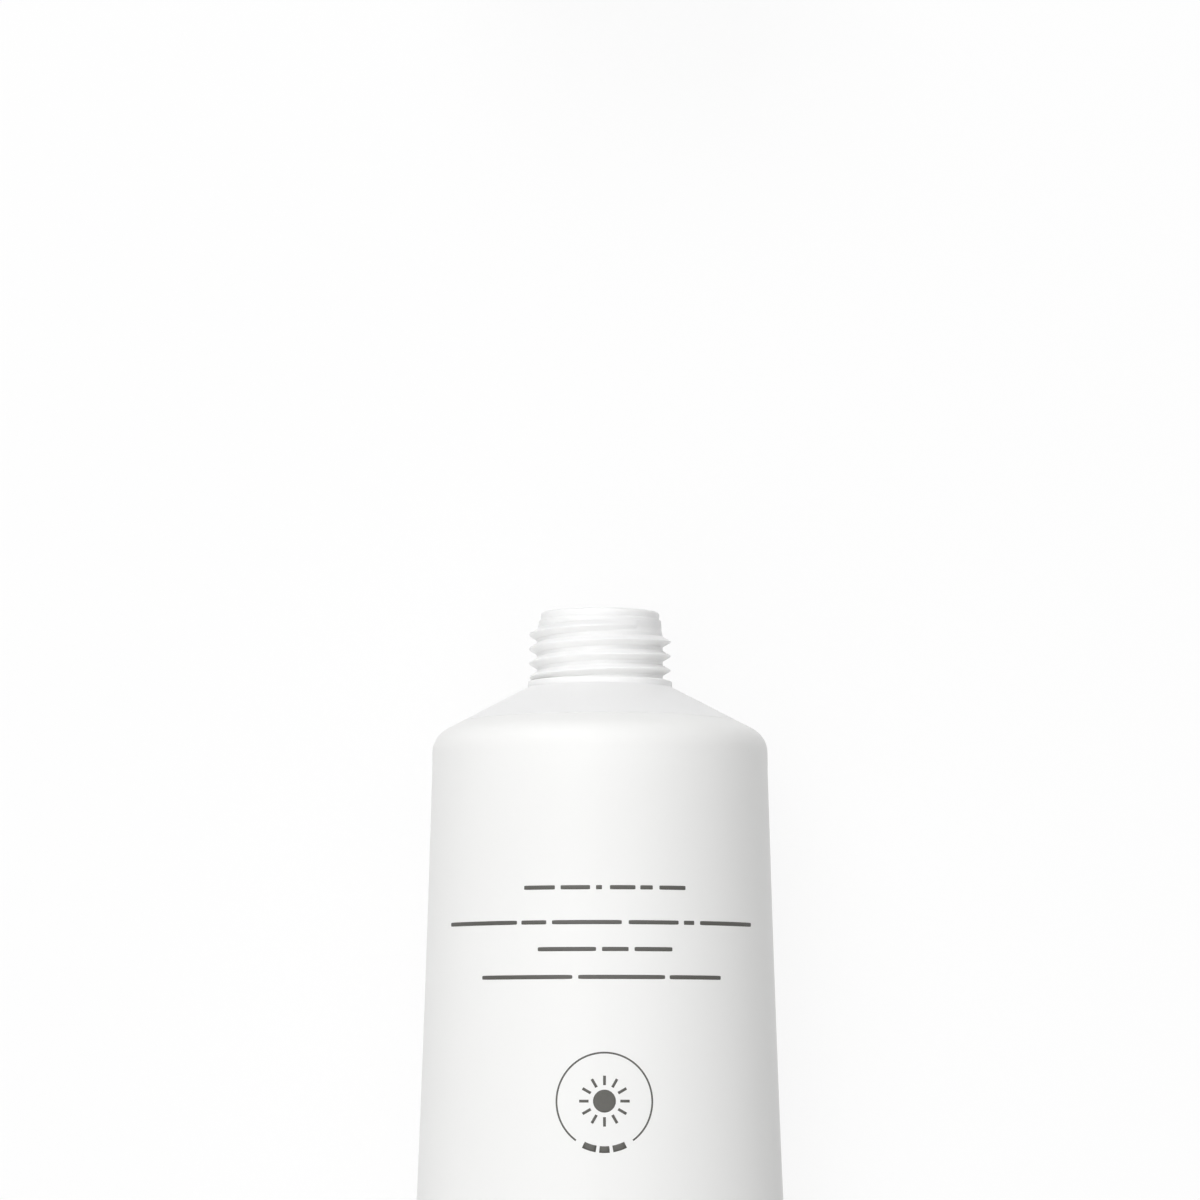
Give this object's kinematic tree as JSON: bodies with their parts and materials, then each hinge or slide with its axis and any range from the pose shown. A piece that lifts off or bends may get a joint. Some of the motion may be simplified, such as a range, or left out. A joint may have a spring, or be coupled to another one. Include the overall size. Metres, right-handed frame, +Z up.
{
  "type": "squeeze tube",
  "caption": "Squeeze tube lying on its back, with a flat crimp, sloped shoulder and threaded neck; its round screw cap lies off, in line with the neck.",
  "frame": {"origin": "on the table under the tube, at the middle of the length from the shoulder's corner to the crimp's end", "axes": "+Y along the neck and out of its mouth, +Z up from the table, +X across the crimp"},
  "size_m": [0.0546, 0.2577, 0.035],
  "materials": {
    "sleeve": "satin white extruded film",
    "shoulder": "satin white moulding",
    "gel": "clear wet gel",
    "cap": "satin white moulding",
    "liner": "matt foamed sheet"
  },
  "bodies": {
    "tube": {"sleeve": "sleeve", "shoulder_neck": "shoulder", "contents": "gel"},
    "liner": {"cap_liner": "liner"},
    "cap": {"cap": "cap"}
  },
  "joints": [
    {"name": "cap_draw", "type": "slide", "parent": "tube", "child": "liner", "axis": [0, 1, 0], "range_m": [-0.092, 0]},
    {"name": "cap_twist", "type": "hinge", "parent": "liner", "child": "cap", "pos_m": [0, 0.17393, 0.0175], "axis": [0, 1, 0], "range_deg": [-1440, 0]}
  ]
}
